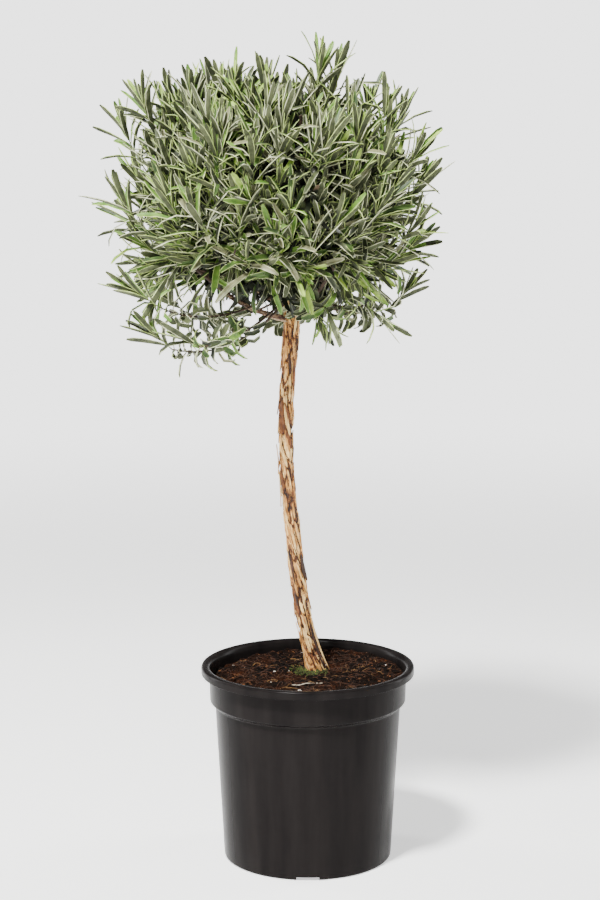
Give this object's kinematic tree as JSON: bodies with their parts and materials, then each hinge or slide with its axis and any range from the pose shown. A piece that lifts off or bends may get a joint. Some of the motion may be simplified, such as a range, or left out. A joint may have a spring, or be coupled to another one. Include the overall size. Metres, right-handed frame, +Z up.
{
  "type": "potted lavender lollipop standard",
  "caption": "Lavender trained as a standard: a dense ball of narrow grey-green leaves on one bare, shreddy-barked stem, growing in a round black nursery pot filled with compost.",
  "frame": {"origin": "centre of the flat underside of the pot", "axes": "+Z up along the pot's axis, -Y towards the plant's front, +X to its right"},
  "size_m": [0.3082, 0.2962, 0.7267],
  "materials": {
    "pot_plastic": "satin injection-moulded black polypropylene",
    "compost": "moist fibrous peat and bark compost",
    "bark": "shredding tan bark with dark fissures",
    "foliage": "finely felted grey-green leaves"
  },
  "bodies": {
    "root": {"pot": "pot_plastic", "soil": "compost", "trunk": "bark", "bough_skirt_1": "bark", "bough_skirt_2": "bark", "bough_skirt_3": "bark", "bough_skirt_4": "bark", "bough_middle_1": "bark", "bough_middle_2": "bark", "bough_middle_3": "bark", "bough_middle_4": "bark", "bough_middle_5": "bark", "bough_upper_1": "bark", "bough_upper_2": "bark", "bough_upper_3": "bark", "bough_upper_4": "bark", "bough_top": "bark", "foliage_skirt_1": "foliage", "foliage_skirt_2": "foliage", "foliage_skirt_3": "foliage", "foliage_skirt_4": "foliage", "foliage_middle_1": "foliage", "foliage_middle_2": "foliage", "foliage_middle_3": "foliage", "foliage_middle_4": "foliage", "foliage_middle_5": "foliage", "foliage_upper_1": "foliage", "foliage_upper_2": "foliage", "foliage_upper_3": "foliage", "foliage_upper_4": "foliage", "foliage_top": "foliage"}
  },
  "joints": []
}
